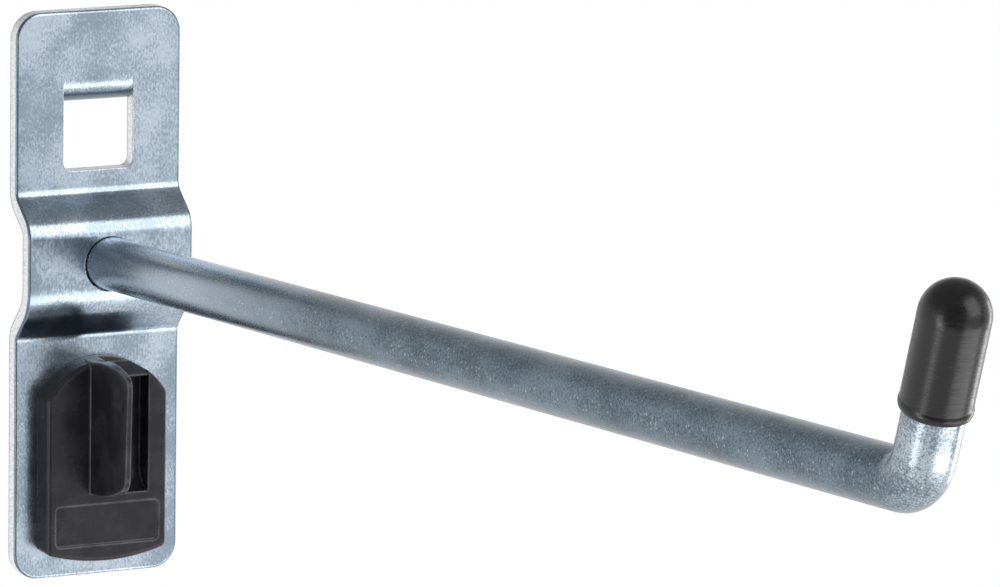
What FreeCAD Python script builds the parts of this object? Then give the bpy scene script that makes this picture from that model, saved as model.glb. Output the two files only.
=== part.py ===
import FreeCAD, Part
import math
import os
import re
import Sketcher

# Driving sizes in millimetres and degrees. The origin is the centre of the upper panel hole,
# in the panel's face: X runs to the right, Y into the wall and Z up. The folded plate lies
# with its back on the panel's face, and the arm stands out along -Y.
SIZES = {
    # Panel with square holes, which carries the hook
    "hole_pitch": 38.0,
    "hole_side": 10.0,
    "panel_thickness": 1.5,
    # Folded plate
    "sheet_thickness": 1.75,
    "plate_width": 20.0,
    "plate_height": 65.0,
    "plate_top": 13.6,
    "plate_corner": 3.0,
    "die_roll": 0.3,
    # Step that holds the middle of the plate off the panel, from the top edge down
    "step_depth": 3.85,
    "step_top": 21.6,
    "step_bottom": 36.3,
    "upper_ramp_angle": 53.3,
    "lower_ramp_angle": 44.0,
    "upper_bend": 1.25,
    "lower_bend": 4.0,
    "foot_bend": 1.25,
    # Window, and the tongue that was cut from it and folded back into the panel
    "window_width": 8.5,
    "window_bottom": 18.2,
    "window_corner": 1.0,
    "tongue_headroom": 0.25,
    "tongue_play": 0.8,
    "tongue_flat": 0.3,
    "tongue_lead": 0.5,
    # Square window for the locking clip
    "plug_gap": 0.3,
    "lock_corner": 0.5,
    # Arm and upturned prong, one bent rod
    "rod_diameter": 6.0,
    "rod_gap": 0.15,
    "arm_height": -14.68,
    "arm_reach": 191.8,
    "arm_rise": 4.3,
    "prong_lean": 18.6,
    "prong_length": 17.3,
    "prong_bend": 4.7,
    "tip_chamfer": 0.5,
    # Closed head behind the plate
    "head_overlap": 1.4,
    "head_rim": 0.6,
    "head_dome": 1.4,
    # Soft cap on the prong
    "cap_wall": 0.42,
    "cap_fit": 0.03,
    "cap_crown": 0.8,
    "cap_length": 13.1,
    "cap_lip": 0.1,
    "cap_lip_height": 0.9,
    # Locking clip, from the centre of the lower panel hole
    "clip_gap": 0.05,
    "clip_width": 14.6,
    "clip_thickness": 3.3,
    "clip_shoulder": 7.9,
    "clip_arch_rise": 4.2,
    "clip_bottom": 10.0,
    "clip_foot_drop": 1.2,
    "clip_corner": 0.8,
    "clip_edge": 0.5,
    # Fin left of the clip's centre: flush flange on its left, finger recess on its right
    "fin_offset": -1.3,
    "fin_thickness": 1.7,
    "fin_top": 12.0,
    "fin_crown": 0.6,
    "fin_fall": 0.4,
    "fin_bottom": 3.2,
    "fin_keel": 2.4,
    "fin_reach": 14.4,
    "fin_lean": 0.5,
    "fin_draft": 3.5,
    "fin_nose": 1.2,
    "fin_heel": 2.0,
    "grip_width": 5.4,
    "grip_floor": 0.9,
    "grip_top": 10.0,
    "grip_bottom": 3.4,
    "brow_rise": 1.3,
    # Shallow recess below the grip
    "label_width": 12.6,
    "label_top": 4.5,
    "label_bottom": 9.2,
    "label_depth": 0.35,
    "label_corner": 0.6,
    # Split plug that snaps behind the panel
    "plug_side": 9.6,
    "leg_thickness": 2.3,
    "slot_root": 0.4,
    "barb_play": 0.3,
    "barb_height": 0.7,
    "barb_land": 0.5,
    "leg_nose": 2.4,
    "leg_taper": 0.5,
    # How far a cut through the sheet runs past it
    "overcut": 1.0,
}

# Distances that several pieces share
TONGUE_TOP = "(hole_side / 2 - tongue_headroom)"
LIP_FRONT = "(panel_thickness + tongue_play)"
TONGUE_BEND = f"(({LIP_FRONT} - tongue_flat) / 2)"
TONGUE_ROOT = f"({TONGUE_TOP} + {TONGUE_BEND})"
PLATE_FRONT = "(step_depth + sheet_thickness)"
ROD_RADIUS = "(rod_diameter / 2)"
ARM_RUN = f"(arm_reach - {PLATE_FRONT})"
CLIP_BACK = "(sheet_thickness + clip_gap)"
CLIP_FRONT = f"({CLIP_BACK} + clip_thickness)"
GRIP_FLOOR = f"({CLIP_BACK} + grip_floor)"
CLIP_APEX = "(clip_shoulder + clip_arch_rise)"

# Lengths of the cuts, centred on the panel's face, through the flats on the panel and
# through the flat that stands off it
CUT_AT_PANEL = "(2 * (sheet_thickness + overcut))"
CUT_AT_STEP = f"(2 * ({PLATE_FRONT} + overcut))"

# Distance in millimetres below which two points count as one, and a short step from an edge
# into the sheet behind it
TOUCH = 1e-4
NEAR = 0.05

doc = FreeCAD.newDocument("PegboardHook")
sheet = doc.addObject("Spreadsheet::Sheet", "Dimensions")
for row, (name, size) in enumerate(SIZES.items(), start=1):
    sheet.set(f"A{row}", name)
    sheet.set(f"B{row}", str(size))
    sheet.setAlias(f"B{row}", name)
doc.recompute()


def linked(formula):
    """The formula, with every size in it read from the sheet."""
    return re.sub(
        r"[a-z_]+",
        lambda word: f"Dimensions.{word[0]}" if word[0] in SIZES else word[0],
        formula,
    )


def value(formula):
    """What the formula comes to with the sheet's sizes."""
    return float(sheet.evalExpression(linked(formula)))


def bulge_radius(half_width, rise):
    """Formula for the radius of an arc from its half width and its rise."""
    return f"(({half_width}) ^ 2 + ({rise}) ^ 2) / (2 * ({rise}))"


def new_body(name, **placement):
    """A named body, whose placement entries follow formulas."""
    body = doc.addObject("PartDesign::Body", name)
    body.Label = name
    body.Placement = FreeCAD.Placement(FreeCAD.Vector(), FreeCAD.Rotation(FreeCAD.Vector(1, 0, 0), 0))
    for entry, formula in placement.items():
        path = "Rotation.Angle" if entry == "turn" else f"Base.{entry}"
        body.setExpression(f"Placement.{path}", linked(formula))
    return body


def new_sketch(body, name, plane, ahead="0", up="0"):
    """An empty sketch on one of the body's own planes, ahead of it along its normal."""
    sketch = body.newObject("Sketcher::SketchObject", name)
    support = next(item for item in body.Origin.OriginFeatures if item.Role == f"{plane}_Plane")
    sketch.AttachmentSupport = [(support, "")]
    sketch.MapMode = "FlatFace"
    sketch.setExpression("AttachmentOffset.Base.z", linked(ahead))
    sketch.setExpression("AttachmentOffset.Base.y", linked(up))
    return sketch


def new_section(body, name, path):
    """An empty sketch square to the start of a path."""
    sketch = body.newObject("Sketcher::SketchObject", name)
    sketch.AttachmentSupport = [(path, "Edge1")]
    sketch.MapMode = "NormalToEdge"
    sketch.MapPathParameter = 0
    return sketch


def pin_down(sketch, kind, formula, *places):
    """A driving constraint that follows a formula."""
    index = sketch.addConstraint(Sketcher.Constraint(kind, *places, value(formula)))
    sketch.setExpression(f"Constraints[{index}]", linked(formula))


def arc_edge(start, end, radius):
    """The shorter arc from start to end that bows to the right of the way it is drawn."""
    chord = end - start
    rise = math.sqrt(max(radius**2 - (chord.Length / 2) ** 2, 0))
    inward = FreeCAD.Vector(-chord.y, chord.x, 0).normalize()
    centre = (start + end) / 2 + inward * rise
    angles = [math.atan2(point.y - centre.y, point.x - centre.x) for point in (start, end)]
    return Part.ArcOfCircle(Part.Circle(centre, FreeCAD.Vector(0, 0, 1), radius), *angles)


def draw(body, name, plane, corners, closed=True, **offset):
    """A sketched outline. Each corner is two formulas, and a third one makes the edge that
    ends there an arc of that radius, bowed to the right of the way it is drawn, or to the
    left if the word left follows."""
    sketch = new_sketch(body, name, plane, **offset)
    spots = [FreeCAD.Vector(value(across), value(up), 0) for across, up, *_ in corners]
    head, tail = 1, 2
    last = None
    for index in range(0 if closed else 1, len(corners)):
        start, end = spots[index - 1], spots[index]
        across, up, *bow = corners[index]
        near, far = head, tail
        if bow:
            if "left" in bow:
                start, end = end, start
                near, far = tail, head
            edge = sketch.addGeometry(arc_edge(start, end, value(bow[0])))
            pin_down(sketch, "Radius", bow[0], edge)
        else:
            edge = sketch.addGeometry(Part.LineSegment(start, end))
        if last:
            sketch.addConstraint(Sketcher.Constraint("Coincident", *last, edge, near))
        else:
            first = (edge, near)
        last = (edge, far)
        pin_down(sketch, "DistanceX", across, -1, 1, *last)
        pin_down(sketch, "DistanceY", up, -1, 1, *last)
    if closed:
        sketch.addConstraint(Sketcher.Constraint("Coincident", *last, *first))
    else:
        pin_down(sketch, "DistanceX", corners[0][0], -1, 1, *first)
        pin_down(sketch, "DistanceY", corners[0][1], -1, 1, *first)
    return sketch


def draw_circle(sketch, radius, up="0"):
    """A circle on the sketch's upright axis."""
    centre = FreeCAD.Vector(0, value(up), 0)
    edge = sketch.addGeometry(Part.Circle(centre, FreeCAD.Vector(0, 0, 1), value(radius)))
    pin_down(sketch, "DistanceX", "0", -1, 1, edge, 3)
    pin_down(sketch, "DistanceY", up, -1, 1, edge, 3)
    pin_down(sketch, "Radius", radius, edge)


def block(half_width, low, high):
    """Corners of a rectangle centred on the upright axis."""
    return [
        (f"-({half_width})", low),
        (half_width, low),
        (half_width, high),
        (f"-({half_width})", high),
    ]


def rounded_block(half_width, low, high, corner):
    """The same rectangle with rounded corners."""
    inner, foot, head = f"({half_width} - {corner})", f"{low} + {corner}", f"{high} - {corner}"
    return [
        (f"-{inner}", low, corner),
        (inner, low),
        (half_width, foot, corner),
        (half_width, head),
        (inner, high, corner),
        (f"-{inner}", high),
        (f"-({half_width})", head, corner),
        (f"-({half_width})", foot),
    ]


def extrude(body, kind, name, sketch, length, symmetric=False):
    """A Pad or a Pocket of the sketch."""
    feature = body.newObject(f"PartDesign::{kind}", name)
    feature.Profile = sketch
    feature.setExpression("Length", linked(length))
    if symmetric:
        feature.SideType = "Symmetric"
    doc.recompute()
    return feature


def turned(body, name, sketch, axis):
    """A full revolution of the sketch about one of its own axes."""
    feature = body.newObject("PartDesign::Revolution", name)
    feature.Profile = sketch
    feature.ReferenceAxis = (sketch, [axis])
    feature.Angle = 360
    doc.recompute()
    return feature


def edges_where(shape, test):
    """Names of the shape's edges that pass the test."""
    names = [f"Edge{index}" for index, edge in enumerate(shape.Edges, start=1) if test(edge)]
    if not names:
        raise ValueError("no edge passes the test")
    return names


def spots_on(edge):
    """The ends and the middle of an edge."""
    return [vertex.Point for vertex in edge.Vertexes] + [edge.CenterOfMass]


def edges_at(shape, **places):
    """Names of the edges that lie wholly where the given coordinates have the given values."""
    goals = {axis: value(formula) for axis, formula in places.items()}

    def lies_there(edge):
        return all(
            abs(getattr(spot, axis) - goal) < TOUCH
            for spot in spots_on(edge)
            for axis, goal in goals.items()
        )

    return edges_where(shape, lies_there)


def dress(body, kind, name, size, names):
    """A Fillet or a Chamfer on named edges of the body's last feature."""
    base = body.Tip
    feature = body.newObject(f"PartDesign::{kind}", name)
    feature.Base = (base, names)
    feature.setExpression("Radius" if kind == "Fillet" else "Size", linked(size))
    doc.recompute()
    return feature


def round_at(body, name, size, *spots):
    """One fillet on every edge at the given spots."""
    shape = body.Tip.Shape
    names = [edge for spot in spots for edge in edges_at(shape, **spot)]
    return dress(body, "Fillet", name, size, names)


def both_sides(half_width, **rest):
    """The same spot on the right and on the left."""
    return [dict(x=half_width, **rest), dict(x=f"-({half_width})", **rest)]


def make_base_plate():
    """Sheet folded into a step, with a tongue folded back out of its window."""
    body = new_body("base_plate")
    top = "plate_top"
    bottom = "(plate_top - plate_height)"
    upper_out = "(plate_top - step_top)"
    upper_in = f"({upper_out} - step_depth / tan(upper_ramp_angle))"
    lower_out = "(plate_top - step_bottom)"
    lower_in = f"({lower_out} + step_depth / tan(lower_ramp_angle))"
    upper_shift = "sheet_thickness * tan(upper_ramp_angle / 2)"
    lower_shift = "sheet_thickness * tan(lower_ramp_angle / 2)"

    # Side view with sharp folds, then the folds rounded inside and out
    back = [("0", bottom), ("0", lower_out), ("-step_depth", lower_in)]
    back += [("-step_depth", upper_in), ("0", upper_out), ("0", top)]
    front = [("-sheet_thickness", top), ("-sheet_thickness", f"{upper_out} + {upper_shift}")]
    front += [(f"-{PLATE_FRONT}", f"{upper_in} + {upper_shift}")]
    front += [(f"-{PLATE_FRONT}", f"{lower_in} - {lower_shift}")]
    front += [("-sheet_thickness", f"{lower_out} - {lower_shift}"), ("-sheet_thickness", bottom)]
    side_view = draw(body, "PlateSideView", "YZ", back + front)
    extrude(body, "Pad", "FoldedSheet", side_view, "plate_width", symmetric=True)
    for name, bend, inner, outer in (
        ("UpperFolds", "upper_bend", (front[1], back[3]), (back[4], front[2])),
        ("LowerFold", "lower_bend", (back[2],), (front[3],)),
        ("FootFold", "foot_bend", (front[4],), (back[1],)),
    ):
        round_at(body, f"{name}Inside", bend, *(dict(y=y, z=z) for y, z in inner))
        outside = f"{bend} + sheet_thickness"
        round_at(body, f"{name}Outside", outside, *(dict(y=y, z=z) for y, z in outer))

    # Window, cut up to the fold at the tongue's root
    sill = "(plate_top - window_bottom)"
    opening = draw(body, "WindowOutline", "XZ", block("window_width / 2", sill, TONGUE_ROOT))
    extrude(body, "Pocket", "Window", opening, CUT_AT_PANEL, symmetric=True)

    # Tongue: back through the panel hole, then up behind the panel. The lip is as long as
    # the blank that the window leaves, less the length that the two folds use up.
    underside = f"({TONGUE_TOP} - sheet_thickness)"
    outside = f"({TONGUE_BEND} + sheet_thickness)"
    lip_back = f"({LIP_FRONT} + sheet_thickness)"
    lip_root = f"({LIP_FRONT} - {TONGUE_BEND})"
    folds = f"pi * ({TONGUE_BEND} + sheet_thickness / 2)"
    lip_top = f"({TONGUE_ROOT} + ({TONGUE_ROOT} - {sill}) - {folds} - tongue_flat)"
    tongue = [
        ("-sheet_thickness", TONGUE_ROOT),
        (TONGUE_BEND, underside, outside),
        (lip_root, underside),
        (lip_back, TONGUE_ROOT, outside),
        (lip_back, lip_top),
        (LIP_FRONT, lip_top),
        (LIP_FRONT, TONGUE_ROOT),
        (lip_root, TONGUE_TOP, TONGUE_BEND, "left"),
        (TONGUE_BEND, TONGUE_TOP),
        ("0", TONGUE_ROOT, TONGUE_BEND, "left"),
    ]
    tongue_view = draw(body, "TongueSideView", "YZ", tongue)
    extrude(body, "Pad", "Tongue", tongue_view, "window_width", symmetric=True)
    lead = [edge for y in (lip_back, LIP_FRONT) for edge in edges_at(body.Tip.Shape, y=y, z=lip_top)]
    dress(body, "Chamfer", "TongueLead", "tongue_lead", lead)

    # Hole for the rod, level with the rod's axis halfway through the sheet
    hole = new_sketch(body, "RodHoleOutline", "XZ")
    hole_height = "arm_height - sheet_thickness / 2 * tan(arm_rise)"
    draw_circle(hole, f"{ROD_RADIUS} + rod_gap", up=hole_height)
    extrude(body, "Pocket", "RodHole", hole, CUT_AT_STEP, symmetric=True)

    # Square window for the clip's plug, opposite the lower panel hole
    half = "(plug_side / 2 + plug_gap)"
    low, high = f"-hole_pitch - {half}", f"-hole_pitch + {half}"
    square = draw(body, "LockWindowOutline", "XZ", rounded_block(half, low, high, "lock_corner"))
    extrude(body, "Pocket", "LockWindow", square, CUT_AT_PANEL, symmetric=True)

    round_at(body, "WindowCorners", "window_corner", *both_sides("window_width / 2", z=sill))
    corners = both_sides("plate_width / 2", z=top) + both_sides("plate_width / 2", z=bottom)
    round_at(body, "PlateCorners", "plate_corner", *corners)

    # Edge of the front face, rolled over by the punch that cut the outline. The rounded
    # corners and the ends follow the sides, because they run on smoothly from them.
    plate = body.Tip.Shape
    side_face = value("plate_width / 2")

    def on_front_side(edge):
        middle = edge.valueAt((edge.FirstParameter + edge.LastParameter) / 2)
        behind = FreeCAD.Vector(math.copysign(side_face - NEAR, middle.x), middle.y + NEAR, middle.z)
        at_side = all(abs(abs(spot.x) - side_face) < TOUCH for spot in spots_on(edge))
        return at_side and plate.isInside(behind, TOUCH, False)

    dress(body, "Fillet", "DieRoll", "die_roll", edges_where(plate, on_front_side))
    return body


def make_hook_rod():
    """Arm, bend and prong drawn from one rod, with a closed head behind the plate. The
    origin is where the rod's axis meets the plate's front face."""
    body = new_body("hook_rod", y=f"-{PLATE_FRONT}", z="arm_height")
    turn = "(90 - arm_rise - prong_lean)"
    tangent = f"(prong_bend * tan({turn} / 2))"
    knee_up = f"{ARM_RUN} * tan(arm_rise)"
    stub = "(sheet_thickness + head_rim)"
    course = [
        (stub, f"-{stub} * tan(arm_rise)"),
        (f"-{ARM_RUN} + {tangent} * cos(arm_rise)", f"{knee_up} - {tangent} * sin(arm_rise)"),
        (f"-{ARM_RUN} - {tangent} * sin(prong_lean)", f"{knee_up} + {tangent} * cos(prong_lean)"),
        (f"-{ARM_RUN} - prong_length * sin(prong_lean)", f"{knee_up} + prong_length * cos(prong_lean)"),
    ]
    course[2] += ("prong_bend", "left")
    path = draw(body, "RodCourse", "YZ", course, closed=False)
    section = new_section(body, "RodSection", path)
    draw_circle(section, ROD_RADIUS)
    pipe = body.newObject("PartDesign::AdditivePipe", "BentRod")
    pipe.Profile = section
    pipe.Spine = (path, ["Edge1", "Edge2", "Edge3"])
    doc.recompute()
    tip = FreeCAD.Vector(0, *(value(formula) for formula in course[-1]))
    rim = edges_where(pipe.Shape, lambda edge: edge.CenterOfMass.distanceToPoint(tip) < TOUCH)
    dress(body, "Chamfer", "RodTip", "tip_chamfer", rim)

    # Head: a low dome closed against the plate's back
    half = f"({ROD_RADIUS} + head_overlap)"
    crown = "sheet_thickness + head_rim + head_dome"
    dome = [
        ("sheet_thickness", "0"),
        (crown, "0"),
        (stub, half, bulge_radius(half, "head_dome")),
        ("sheet_thickness", half),
    ]
    profile = draw(body, "HeadProfile", "YZ", dome, up="-sheet_thickness * tan(arm_rise)")
    turned(body, "ClosedHead", profile, "H_Axis")
    return body


def make_end_cap():
    """Soft cap, domed inside and out, pushed over the prong until the rod's tip reaches the
    inner dome. Its own frame stands at its mouth, along the prong."""
    bore = f"({ROD_RADIUS} + cap_fit)"
    outside = f"({bore} + cap_wall)"
    depth = f"(cap_length - cap_crown - {bore})"
    mouth = f"(prong_length - {depth})"
    body = new_body(
        "end_cap",
        y=f"-arm_reach - {mouth} * sin(prong_lean)",
        z=f"arm_height + {ARM_RUN} * tan(arm_rise) + {mouth} * cos(prong_lean)",
        turn="prong_lean",
    )
    outline = [
        (bore, "0"),
        (outside, "0"),
        (outside, "cap_lip_height", bulge_radius("cap_lip_height / 2", "cap_lip")),
        (outside, f"cap_length - {outside}"),
        ("0", "cap_length", outside),
        ("0", "cap_length - cap_crown"),
        (bore, depth, bore, "left"),
    ]
    profile = draw(body, "CapProfile", "XZ", outline)
    turned(body, "Cap", profile, "V_Axis")
    return body


def make_locking_clip():
    """Moulded clip: an arched flange with a finger fin, and a split plug that passes through
    the plate and the panel. Its own frame stands at the centre of the lower panel hole."""
    body = new_body("locking_clip", z="-hole_pitch")
    half = "(clip_width / 2)"
    flange = [
        (half, "-clip_bottom", bulge_radius(half, "clip_foot_drop")),
        (half, "clip_shoulder"),
        (f"-{half}", "clip_shoulder", bulge_radius(half, "clip_arch_rise")),
        (f"-{half}", "-clip_bottom"),
    ]
    front_view = draw(body, "FlangeOutline", "XZ", flange, ahead=CLIP_BACK)
    extrude(body, "Pad", "Flange", front_view, "clip_thickness")
    corners = both_sides(half, z="clip_shoulder") + both_sides(half, z="-clip_bottom")
    round_at(body, "FlangeCorners", "clip_corner", *corners)
    round_at(body, "FlangeEdge", "clip_edge", dict(y=f"-{CLIP_FRONT}"))

    # Brow that slopes back from the top of the finger recess, out through the arch
    fin_left = "(fin_offset - fin_thickness / 2)"
    fin_right = "(fin_offset + fin_thickness / 2)"
    grip_right = f"({fin_right} + grip_width)"
    above = f"({CLIP_APEX} + clip_thickness)"
    brow = [
        (f"-{CLIP_FRONT}", "grip_top"),
        (f"-{GRIP_FLOOR}", "grip_top + brow_rise"),
        (f"-{GRIP_FLOOR}", above),
        (f"-{CLIP_FRONT}", above),
    ]
    brow_view = draw(body, "BrowSideView", "YZ", brow, ahead=grip_right)
    extrude(body, "Pocket", "Brow", brow_view, "grip_width")

    # Finger recess, square at the top and scooped out at the bottom
    depth = f"({CLIP_FRONT} - {GRIP_FLOOR})"
    ahead = f"(-{CLIP_FRONT} - overcut)"
    recess = [
        (ahead, "-grip_bottom"),
        (f"-{CLIP_FRONT}", "-grip_bottom"),
        (f"-{GRIP_FLOOR}", f"-grip_bottom + {depth}", depth),
        (f"-{GRIP_FLOOR}", "grip_top"),
        (ahead, "grip_top"),
    ]
    recess_view = draw(body, "RecessSideView", "YZ", recess, ahead=grip_right)
    extrude(body, "Pocket", "FingerRecess", recess_view, "grip_width")

    # Fin with a crowned top and a rising keel, rooted inside the flange
    root = f"(-{CLIP_BACK} - clip_thickness / 2)"
    keel = bulge_radius(f"fin_reach - fin_lean - {CLIP_FRONT}", "fin_keel")
    fin = [
        (root, "fin_top"),
        (f"-{CLIP_FRONT}", "fin_top"),
        ("-fin_reach", "fin_top - fin_fall", bulge_radius(f"(fin_reach - {CLIP_FRONT}) / 2", "fin_crown")),
        ("-fin_reach + fin_lean", "-fin_bottom + fin_keel"),
        (f"-{CLIP_FRONT}", "-fin_bottom", keel),
        (root, "-fin_bottom"),
    ]
    fin_view = draw(body, "FinSideView", "YZ", fin, ahead="fin_offset")
    extrude(body, "Pad", "Fin", fin_view, "fin_thickness", symmetric=True)
    round_at(body, "FinNose", "fin_nose", dict(y="-fin_reach", z="fin_top - fin_fall"))
    round_at(body, "FinHeel", "fin_heel", dict(y="-fin_reach + fin_lean", z="-fin_bottom + fin_keel"))

    # Draft on both sides of the fin
    far, tall = "(-fin_reach - overcut)", "2 * (fin_top + fin_crown + overcut)"
    inset = f"(fin_reach + overcut - {CLIP_FRONT}) * tan(fin_draft)"
    for side, root_edge, outward, inward in (("Left", fin_left, "-", "+"), ("Right", fin_right, "+", "-")):
        wedge = [
            (root_edge, f"-{CLIP_FRONT}"),
            (f"{root_edge} {inward} {inset}", far),
            (f"{root_edge} {outward} overcut", far),
            (f"{root_edge} {outward} overcut", f"-{CLIP_FRONT}"),
        ]
        wedge_view = draw(body, f"{side}DraftTopView", "XY", wedge)
        extrude(body, "Pocket", f"{side}Draft", wedge_view, tall, symmetric=True)

    # Bare recessed panel below the grip
    label = rounded_block("(label_width / 2)", "-label_bottom", "-label_top", "label_corner")
    label_view = draw(body, "LabelOutline", "XZ", label, ahead=CLIP_FRONT)
    extrude(body, "Pocket", "LabelRecess", label_view, "label_depth")

    # Split plug with a barb on each leg, rooted halfway into the recess's floor
    side = "plug_side / 2"
    root = f"-{CLIP_BACK} - grip_floor / 2"
    shoulder = "(panel_thickness + barb_play)"
    inside = f"({side} - leg_thickness)"
    tip = f"{shoulder} + barb_land + leg_nose"
    right = [
        (side, root),
        (side, shoulder),
        (f"{side} + barb_height", shoulder),
        (f"{side} + barb_height", f"{shoulder} + barb_land"),
        (f"{side} - leg_taper", tip),
        (inside, tip),
        (inside, "slot_root"),
    ]
    left = [(f"-({across})", along) for across, along in reversed(right)]
    plug_view = draw(body, "PlugTopView", "XY", right + left)
    extrude(body, "Pad", "SplitPlug", plug_view, "plug_side", symmetric=True)
    return body


def check(bodies):
    """Stops on a failed object or an unsound solid."""
    doc.recompute()
    for item in doc.Objects:
        if {"Invalid", "Error"} & set(item.State):
            raise RuntimeError(f"{item.Name}: {item.State}")
    for body in bodies:
        if body.Shape.isNull() or not body.Shape.isValid():
            raise RuntimeError(f"{body.Label} has no valid shape")
        box = body.Shape.optimalBoundingBox(False)
        print(
            f"{body.Label}: {len(body.Shape.Solids)} solid, {body.Shape.Volume:.1f} mm3,",
            f"X {box.XMin:.2f} {box.XMax:.2f} Y {box.YMin:.2f} {box.YMax:.2f}",
            f"Z {box.ZMin:.2f} {box.ZMax:.2f}",
        )


pieces = [make_base_plate(), make_hook_rod(), make_end_cap(), make_locking_clip()]
check(pieces)
os.makedirs("parts", exist_ok=True)
for piece in pieces:
    piece.Shape.exportStep(f"parts/{piece.Label}.step")
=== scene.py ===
"""Looks of a pegboard hook: zinc plated plate and rod, soft black cap and moulded black clip."""

import math

import bpy
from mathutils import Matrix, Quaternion, Vector

MM = 0.001

# Camera, in degrees and metres, with its lens and sensor in millimetres. A negative azimuth turns
# it to the object's left.
CAMERA_AIM = Vector((0.00286, -0.09911, -0.00070))
CAMERA_AZIMUTH = -26.154
CAMERA_ELEVATION = 11.401
CAMERA_ROLL = 0.992
CAMERA_DISTANCE = 0.7772
CAMERA_LENS = 275.7
SENSOR_WIDTH = 36.0

# Studio, in metres. The floor lies far enough below for its shadow to stay out of the frame,
# and ends in front of the object.
FLOOR_DEPTH = 0.9
FLOOR_SIZE = 30.0
FLOOR_FRONT = 1.5
FLOOR_COLOUR = (0.8, 0.8, 0.8, 1.0)
WHITE = (1.0, 1.0, 1.0, 1.0)

# AMBIENT lights the object. CEILING and ROOM are what reflections see overhead and in front,
# where white is 1. Each span says how far a direction points up, or along Y, from where the
# white starts to darken to where it is darkest.
AMBIENT = 0.42
CEILING = 0.38
CEILING_SPAN = (0.05, 0.65)
ROOM = 0.30
ROOM_SPAN = (-0.1, -0.6)

# Lamps: place, width and height in metres, and strength
SOFTBOXES = {
    "key": ((0.62, -1.05, 0.58), (0.95, 1.05), 2.3),
    "front_fill": ((0.52, -1.14, -0.16), (1.00, 0.62), 0.70),
    "low_fill": ((0.48, -0.78, -0.62), (1.00, 0.42), 2.0),
    "left_strip": ((-0.90, -0.42, -0.22), (0.30, 0.70), 3.0),
    "right_rim": ((1.00, 0.12, -0.18), (0.30, 0.80), 3.5),
}

# Colours, linear
ZINC_PALE = (0.50, 0.58, 0.67, 1.0)
ZINC_DEEP = (0.27, 0.345, 0.41, 1.0)
# Painted shade, for the turned-over edges, the bend into the tongue and the outlines of the cut
# faces
ZINC_PAINTED_SHADE = (0.12, 0.17, 0.20, 1.0)
# The cut faces' own bright colour, also used as a painted highlight along the sheet's edges
ZINC_SHEARED_AND_HIGHLIGHT = (0.90, 0.92, 0.94, 1.0)
ZINC_TORN = (0.70, 0.74, 0.77, 1.0)
# The arm is painted darker, as shade, and the prong brighter, as light; both are the same zinc
ARM_PALE = (0.17, 0.225, 0.275, 1.0)
ARM_DEEP = (0.050, 0.080, 0.105, 1.0)
PRONG_PALE = (0.50, 0.57, 0.62, 1.0)
PRONG_DEEP = (0.18, 0.23, 0.27, 1.0)
SPARKLE = (0.80, 0.86, 0.90, 1.0)
CLIP_BLACK = (0.017, 0.017, 0.020, 1.0)
CLIP_WORN = (0.028, 0.027, 0.031, 1.0)
# Painted highlight along the clip's edges and corners
CLIP_EDGE_HIGHLIGHT = (0.170, 0.168, 0.176, 1.0)
CAP_BLACK = (0.003, 0.003, 0.004, 1.0)
CAP_SCUFFED = (0.014, 0.014, 0.018, 1.0)

# Roughness from the smoothest to the dullest spots, what a cut adds, and the plastics' gloss
PLATE_ROUGHNESS = (0.20, 0.30)
CUT_ROUGHNESS = 0.15
ROD_ROUGHNESS = (0.20, 0.32)
CAP_ROUGHNESS = (0.20, 0.34)
CLIP_ROUGHNESS = (0.20, 0.30)
CAP_SPECULAR = 0.5
CLIP_SPECULAR = 0.3

# Places along Y in millimetres, between which the rod's colour brightens towards the prong as
# painted
# # light and towards the plate as a painted reflection of it
PRONG_LIGHT_SPAN = (-187.0, -195.0)
ARM_REFLECTION_SPAN = (-75.0, -6.0)

# Zones of the plate. SIDE, EDGE_ON and UNDER are parts of a face's normal along X, Y and Z. The
# others are places in millimetres: behind the panel's face, above the middle of its upper hole,
# and from the plate's middle out to its sides, where painted shade darkens the zinc.
SHEARED_SIDE = (0.94, 0.97)
SHEARED_EDGE_ON = (0.22, 0.12)
ROLLED_SIDE = (0.08, 0.30)
SHADED_UNDER = (-0.40, -0.65)
BEHIND_PANEL = (0.2, 0.0)
TONGUE_HEIGHT = (1.0, 2.0)
SHADED_PLATE_SIDES = (7.6, 9.8)

# How much of its colour a zone, an outline or a fleck takes on; the rolled, tongue and side zones,
# the outlines and the clip's edges take on painted shade and painted highlight. Where there are
# two shares, it varies between them.
ROLLED_SHADE_SHARE = (0.0, 0.8)
TONGUE_SHADE_SHARE = (0.0, 0.9)
SIDE_SHADE_SHARE = (0.75, 0.15)
CUT_OUTLINE_SHADE = 0.9
SHEET_EDGE_HIGHLIGHT = 0.7
SPARKLE_SHARE = 0.4
ROD_SPARKLE_SHARE = (0.32, 0.6)
CLIP_HIGHLIGHT_SHARE = (0.45, 1.0)

# Radii in millimetres over which sharp edges are softened or take on painted highlight and painted
# # shade, rays that look for them, and how well the softened normal agrees with the plain one
# where an
# # edge starts and on it
SHEET_EDGE = 0.22
CUT_EDGE = 0.6
MOULDED_EDGE = 0.30
HIGHLIGHT_EDGE = 0.45
BEVEL_SAMPLES = 6
EDGE_AGREEMENT = (0.99, 0.86)

# Where most values of a noise lie, and how far from its cell's middle, in cells, a fleck starts
# and is full
NOISE_SPAN = (0.3, 0.7)
FLECK_SPAN = (0.42, 0.12)


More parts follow.
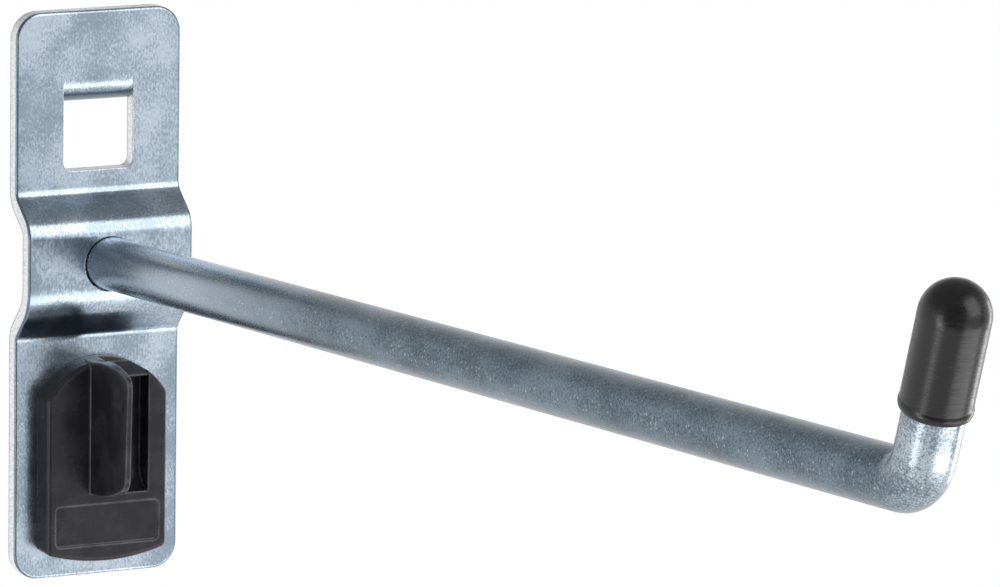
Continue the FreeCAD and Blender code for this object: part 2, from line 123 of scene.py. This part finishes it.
class Graph:
    """A material's or the world's node tree, built by short calls."""

    def __init__(self, owner):
        owner.use_nodes = True
        self.tree = owner.node_tree
        self.tree.nodes.clear()

    def node(self, kind, inputs=None, **settings):
        """A node whose settings are set and whose inputs are values or other sockets."""
        made = self.tree.nodes.new(kind)
        for name, setting in settings.items():
            setattr(made, name, setting)
        for name, source in (inputs or {}).items():
            if isinstance(source, bpy.types.NodeSocket):
                self.tree.links.new(source, made.inputs[name])
            else:
                made.inputs[name].default_value = source
        return made

    def math(self, operation, first, second=0.0):
        """One value worked out from another, or from two."""
        return self.node("ShaderNodeMath", {0: first, 1: second}, operation=operation).outputs[0]

    def spread(self, value, span, onto=(0.0, 1.0)):
        """The value from one span onto another, smoothly and clamped."""
        inputs = {0: value, 1: span[0], 2: span[1], 3: onto[0], 4: onto[1]}
        made = self.node("ShaderNodeMapRange", inputs, interpolation_type="SMOOTHSTEP")
        return made.outputs[0]

    def mix(self, share, first, second):
        """A mix of two colours, with the given share of the second."""
        # The node has sockets for each type of data, and these are the ones for colours.
        inputs = {0: share, 6: first, 7: second}
        return self.node("ShaderNodeMix", inputs, data_type="RGBA").outputs[2]

    def place(self, stretch=(1.0, 1.0, 1.0)):
        """The object's own coordinates in millimetres, each axis stretched by its factor."""
        spot = self.node("ShaderNodeTexCoord").outputs["Object"]
        scale = tuple(factor / MM for factor in stretch)
        return self.node("ShaderNodeMapping", {"Vector": spot, "Scale": scale}).outputs[0]

    def along(self, axis):
        """The object's own coordinate along one axis, in millimetres."""
        return self.node("ShaderNodeSeparateXYZ", {0: self.place()}).outputs[axis]

    def facing(self, axis):
        """The part of the surface's own normal along one axis."""
        normal = self.node("ShaderNodeTexCoord").outputs["Normal"]
        return self.node("ShaderNodeSeparateXYZ", {0: normal}).outputs[axis]

    def noise(self, size, detail, roughness, stretch=(1.0, 1.0, 1.0)):
        """Noise whose features are about the given size in millimetres."""
        inputs = {
            "Vector": self.place(stretch),
            "Scale": 1.0 / size,
            "Detail": detail,
            "Roughness": roughness,
        }
        return self.node("ShaderNodeTexNoise", inputs).outputs[0]

    def flecks(self, size, share):
        """Small bright grains: cells of the given size, of which the given share are lit."""
        cells = self.node("ShaderNodeTexVoronoi", {"Vector": self.place(), "Scale": 1.0 / size})
        dot = self.spread(cells.outputs["Distance"], FLECK_SPAN)
        pick = self.node("ShaderNodeSeparateColor", {0: cells.outputs["Color"]}).outputs[0]
        lit = self.spread(pick, (1.0 - share, 1.0 - share / 2))
        return self.math("MULTIPLY", dot, lit)

    def rounded(self, radius):
        """The surface's normal with sharp edges softened over the given radius in millimetres."""
        inputs = {"Radius": radius * MM}
        return self.node("ShaderNodeBevel", inputs, samples=BEVEL_SAMPLES).outputs[0]

    def edges(self, radius):
        """1 along sharp edges and corners, fading out over the given radius in millimetres."""
        plain = self.node("ShaderNodeNewGeometry").outputs["Normal"]
        inputs = {0: self.rounded(radius), 1: plain}
        agree = self.node("ShaderNodeVectorMath", inputs, operation="DOT_PRODUCT").outputs["Value"]
        return self.spread(agree, EDGE_AGREEMENT)

    def bump(self, height, depth, normal=None):
        """Bump of the given depth in millimetres."""
        inputs = {"Height": height, "Distance": depth * MM, "Strength": 1.0}
        if normal is not None:
            inputs["Normal"] = normal
        return self.node("ShaderNodeBump", inputs).outputs[0]

    def surface(self, inputs):
        """The material's shader and its output."""
        shader = self.node("ShaderNodeBsdfPrincipled", inputs)
        self.node("ShaderNodeOutputMaterial", {"Surface": shader.outputs[0]})


def sheared(graph):
    """1 on the faces that the punch sheared. They face sideways, up or down and never forward,
    but behind the panel's face only the tongue's sides are sheared."""
    sideways = graph.spread(graph.math("ABSOLUTE", graph.facing("X")), SHEARED_SIDE)
    edge_on = graph.spread(graph.math("ABSOLUTE", graph.facing("Y")), SHEARED_EDGE_ON)
    in_front = graph.spread(graph.along("Y"), BEHIND_PANEL)
    return graph.math("MAXIMUM", sideways, graph.math("MULTIPLY", edge_on, in_front))


def painted_shade(graph):
    """How far the zinc takes on painted shade: where the punch rolled the edges of the front over
    at the sides and corners, and on the down-facing bend into the tongue."""
    rolled_shade = graph.spread(graph.math("ABSOLUTE", graph.facing("X")), ROLLED_SIDE, ROLLED_SHADE_SHARE)
    under = graph.spread(graph.facing("Z"), SHADED_UNDER, TONGUE_SHADE_SHARE)
    tongue_shade = graph.math("MULTIPLY", under, graph.spread(graph.along("Z"), TONGUE_HEIGHT))
    return graph.math("MAXIMUM", rolled_shade, tongue_shade)


def blended(graph, cloud, grain, cloud_share):
    """A coarse and a fine noise added up, the coarse one with the given share."""
    coarse = graph.math("MULTIPLY", cloud, cloud_share)
    fine = graph.math("MULTIPLY", grain, 1.0 - cloud_share)
    return graph.math("ADD", coarse, fine)


def plate_zinc():
    """Bright zinc on rolled sheet, with a fine upright grain and soft mottling, a painted
    highlight along the sheet's sharp edges, and painted shade towards its sides, on its
    turned-over edges and on the bend into the tongue. Its cut faces are bright and streaked, with
    outlines of painted shade."""
    material = bpy.data.materials.new("plate_zinc")
    graph = Graph(material)
    cloud = graph.noise(size=9.0, detail=5.0, roughness=0.62)
    grain = graph.noise(size=0.22, detail=2.0, roughness=0.6, stretch=(1.0, 1.0, 0.5))
    tone = blended(graph, cloud, grain, cloud_share=0.6)
    colour = graph.mix(graph.spread(tone, span=(0.41, 0.59)), ZINC_DEEP, ZINC_PALE)

    flecks = graph.flecks(size=0.34, share=0.16)
    colour = graph.mix(graph.math("MULTIPLY", flecks, SPARKLE_SHARE), colour, SPARKLE)
    # Painted highlight: the sheet's sharp edges lightened towards the bright cut colour
    edges = graph.math("MULTIPLY", graph.edges(SHEET_EDGE), SHEET_EDGE_HIGHLIGHT)
    colour = graph.mix(edges, colour, ZINC_SHEARED_AND_HIGHLIGHT)
    # Painted shade: darker towards the plate's sides, in patches
    side_shade = graph.spread(graph.math("ABSOLUTE", graph.along("X")), SHADED_PLATE_SIDES)
    side_shade = graph.math("MULTIPLY", side_shade, graph.spread(tone, span=(0.40, 0.56), onto=SIDE_SHADE_SHARE))
    colour = graph.mix(side_shade, colour, ZINC_DEEP)
    # Painted shade on the turned-over edges and on the bend into the tongue
    colour = graph.mix(painted_shade(graph), colour, ZINC_PAINTED_SHADE)

    streaks = graph.noise(size=0.25, detail=2.0, roughness=0.5, stretch=(1.0, 0.25, 1.0))
    bare = graph.mix(graph.spread(streaks, span=(0.35, 0.6)), ZINC_TORN, ZINC_SHEARED_AND_HIGHLIGHT)
    # Painted shade: darker outlines around the cut faces
    outline_shade = graph.math("MULTIPLY", graph.edges(CUT_EDGE), CUT_OUTLINE_SHADE)
    bare = graph.mix(outline_shade, bare, ZINC_PAINTED_SHADE)
    cut = sheared(graph)
    colour = graph.mix(cut, colour, bare)

    rough = graph.spread(cloud, NOISE_SPAN, PLATE_ROUGHNESS)
    rough = graph.math("ADD", rough, graph.math("MULTIPLY", cut, CUT_ROUGHNESS))
    normal = graph.bump(grain, depth=0.005, normal=graph.rounded(SHEET_EDGE))
    normal = graph.bump(cloud, depth=0.05, normal=normal)
    graph.surface({"Base Color": colour, "Metallic": 1.0, "Roughness": rough, "Normal": normal})
    return material


def rod_zinc():
    """Zinc on drawn rod, with faint drawing lines along the arm. The arm is painted darker, as
    shade, and lighter near the plate, as a painted reflection of it. The upturned end is painted
    brighter, as light, and is speckled."""
    material = bpy.data.materials.new("rod_zinc")
    graph = Graph(material)
    cloud = graph.noise(size=4.0, detail=4.0, roughness=0.6, stretch=(1.0, 0.4, 1.0))
    lines = graph.noise(size=0.25, detail=2.0, roughness=0.5, stretch=(1.0, 0.08, 1.0))
    grain = graph.noise(size=0.24, detail=2.0, roughness=0.7)
    tone = blended(graph, cloud, grain, cloud_share=0.4)
    shade = graph.spread(tone, span=(0.40, 0.60))

    place = graph.along("Y")
    end = graph.spread(place, PRONG_LIGHT_SPAN)
    arm = graph.mix(shade, ARM_DEEP, ARM_PALE)
    # Painted reflection of the plate: the arm lightened towards it
    arm = graph.mix(graph.spread(place, ARM_REFLECTION_SPAN), arm, ZINC_PALE)
    prong = graph.mix(shade, PRONG_DEEP, PRONG_PALE)
    # Painted light: the upturned end brighter than the arm
    colour = graph.mix(end, arm, prong)
    flecks = graph.flecks(size=0.42, share=0.14)
    lit = graph.math("MULTIPLY", flecks, graph.spread(end, (0.0, 1.0), ROD_SPARKLE_SHARE))
    colour = graph.mix(lit, colour, SPARKLE)

    rough = graph.spread(grain, NOISE_SPAN, ROD_ROUGHNESS)
    normal = graph.bump(grain, depth=0.012, normal=graph.bump(lines, depth=0.004))
    graph.surface({"Base Color": colour, "Metallic": 1.0, "Roughness": rough, "Normal": normal})
    return material


def cap_vinyl():
    """Dipped black vinyl with a soft gloss and faint rings from sliding on and off."""
    material = bpy.data.materials.new("cap_vinyl")
    graph = Graph(material)
    rings = graph.noise(size=0.3, detail=2.0, roughness=0.6, stretch=(0.12, 0.5, 1.3))
    scuff = graph.noise(size=2.5, detail=3.0, roughness=0.6)
    ringed = graph.spread(rings, span=(0.5, 0.75))
    scuffed = graph.math("MULTIPLY", ringed, graph.spread(scuff, span=(0.4, 0.7)))
    graph.surface({
        "Base Color": graph.mix(scuffed, CAP_BLACK, CAP_SCUFFED),
        "Roughness": graph.spread(rings, NOISE_SPAN, CAP_ROUGHNESS),
        "Normal": graph.bump(rings, depth=0.004),
        "Specular IOR Level": CAP_SPECULAR,
    })
    return material


def clip_plastic():
    """Moulded black plastic with a very fine spark-eroded texture, and a painted highlight along
    its edges and in its corners, broken up in patches.
    """
    material = bpy.data.materials.new("clip_plastic")
    graph = Graph(material)
    pits = graph.noise(size=0.3, detail=1.0, roughness=0.4)
    cloud = graph.noise(size=3.0, detail=3.0, roughness=0.5)
    colour = graph.mix(graph.spread(cloud, span=(0.35, 0.7)), CLIP_BLACK, CLIP_WORN)
    # Painted highlight along the edges and in the corners, broken up in patches
    patches = graph.spread(cloud, span=(0.3, 0.6), onto=CLIP_HIGHLIGHT_SHARE)
    edge_highlight = graph.math("MULTIPLY", graph.edges(HIGHLIGHT_EDGE), patches)
    graph.surface({
        "Base Color": graph.mix(edge_highlight, colour, CLIP_EDGE_HIGHLIGHT),
        "Roughness": graph.spread(cloud, NOISE_SPAN, CLIP_ROUGHNESS),
        "Normal": graph.bump(pits, depth=0.002, normal=graph.rounded(MOULDED_EDGE)),
        "Specular IOR Level": CLIP_SPECULAR,
    })
    return material


def dress(frame):
    """Gives each CAD node its material."""
    finishes = {
        "base_plate": plate_zinc(),
        "hook_rod": rod_zinc(),
        "end_cap": cap_vinyl(),
        "locking_clip": clip_plastic(),
    }
    for name, material in finishes.items():
        for slot in frame["nodes"][name].material_slots:
            slot.material = material


def seen_white(graph):
    """1 for the rays that see the white background: the camera's, reflected and passed ones."""
    path = graph.node("ShaderNodeLightPath")
    share = graph.math("MAXIMUM", path.outputs["Is Camera Ray"], path.outputs["Is Glossy Ray"])
    return graph.math("MAXIMUM", share, path.outputs["Is Transmission Ray"])


def add_floor():
    """A floor far below, which the camera and the reflections see as plain white."""
    middle = (0.0, FLOOR_SIZE / 2 - FLOOR_FRONT, -FLOOR_DEPTH)
    bpy.ops.mesh.primitive_plane_add(size=FLOOR_SIZE, location=middle)
    floor = bpy.context.object
    floor.name = "floor"
    material = bpy.data.materials.new("floor_white")
    graph = Graph(material)
    lit = graph.node("ShaderNodeBsdfDiffuse", {"Color": FLOOR_COLOUR})
    white = graph.node("ShaderNodeEmission", {"Color": WHITE, "Strength": 1.0})
    inputs = {0: seen_white(graph), 1: lit.outputs[0], 2: white.outputs[0]}
    blend = graph.node("ShaderNodeMixShader", inputs)
    graph.node("ShaderNodeOutputMaterial", {"Surface": blend.outputs[0]})
    floor.data.materials.append(material)


def light_world():
    """White for the rays that see it, with the greyer room overhead and in front for the
    reflections, and a plain grey sky for the rest."""
    world = bpy.data.worlds.new("studio")
    bpy.context.scene.world = world
    graph = Graph(world)
    direction = graph.node("ShaderNodeTexCoord").outputs["Generated"]
    parts = graph.node("ShaderNodeSeparateXYZ", {0: direction})
    ceiling = graph.spread(parts.outputs["Z"], CEILING_SPAN, onto=(1.0, CEILING))
    front = graph.spread(parts.outputs["Y"], ROOM_SPAN, onto=(1.0, ROOM))
    reflected = graph.math("MINIMUM", ceiling, front)
    path = graph.node("ShaderNodeLightPath")
    seen = graph.spread(path.outputs["Is Camera Ray"], (0.0, 1.0), onto=(reflected, 1.0))
    strength = graph.spread(seen_white(graph), (0.0, 1.0), onto=(AMBIENT, seen))
    sky = graph.node("ShaderNodeBackground", {"Color": WHITE, "Strength": strength})
    graph.node("ShaderNodeOutputWorld", {"Surface": sky.outputs[0]})


def add_softbox(name, place, size, strength):
    """A soft rectangular lamp that faces the object. It is as bright as its strength says,
    whatever its size."""
    width, height = size
    lamp = bpy.data.lights.new(name, "AREA")
    lamp.shape = "RECTANGLE"
    lamp.size, lamp.size_y = width, height
    lamp.energy = strength * math.pi * width * height
    holder = bpy.data.objects.new(name, lamp)
    bpy.context.scene.collection.objects.link(holder)
    holder.location = place
    holder.rotation_euler = (CAMERA_AIM - Vector(place)).to_track_quat("-Z", "Y").to_euler()


def add_camera():
    """The photograph's view."""
    camera = bpy.data.cameras.new("camera")
    camera.lens = CAMERA_LENS
    camera.sensor_width = SENSOR_WIDTH
    holder = bpy.data.objects.new("camera", camera)
    bpy.context.scene.collection.objects.link(holder)
    azimuth, elevation = math.radians(CAMERA_AZIMUTH), math.radians(CAMERA_ELEVATION)
    level = math.cos(elevation)
    back = Vector((math.sin(azimuth) * level, -math.cos(azimuth) * level, math.sin(elevation)))
    holder.location = CAMERA_AIM + back * CAMERA_DISTANCE
    roll = Quaternion((0.0, 0.0, 1.0), math.radians(CAMERA_ROLL))
    holder.rotation_mode = "QUATERNION"
    holder.rotation_quaternion = (-back).to_track_quat("-Z", "Y") @ roll
    bpy.context.scene.camera = holder


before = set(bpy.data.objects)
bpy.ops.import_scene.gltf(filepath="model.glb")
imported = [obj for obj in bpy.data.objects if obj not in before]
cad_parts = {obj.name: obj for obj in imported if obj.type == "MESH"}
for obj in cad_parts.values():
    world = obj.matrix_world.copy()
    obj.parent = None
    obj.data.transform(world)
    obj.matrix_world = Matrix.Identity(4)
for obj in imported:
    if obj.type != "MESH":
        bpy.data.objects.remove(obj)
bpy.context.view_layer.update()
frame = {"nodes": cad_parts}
bpy.context.scene.view_settings.view_transform = "Standard"
dress(frame)
add_floor()
light_world()
for name, (place, size, strength) in SOFTBOXES.items():
    add_softbox(name, place, size, strength)
add_camera()
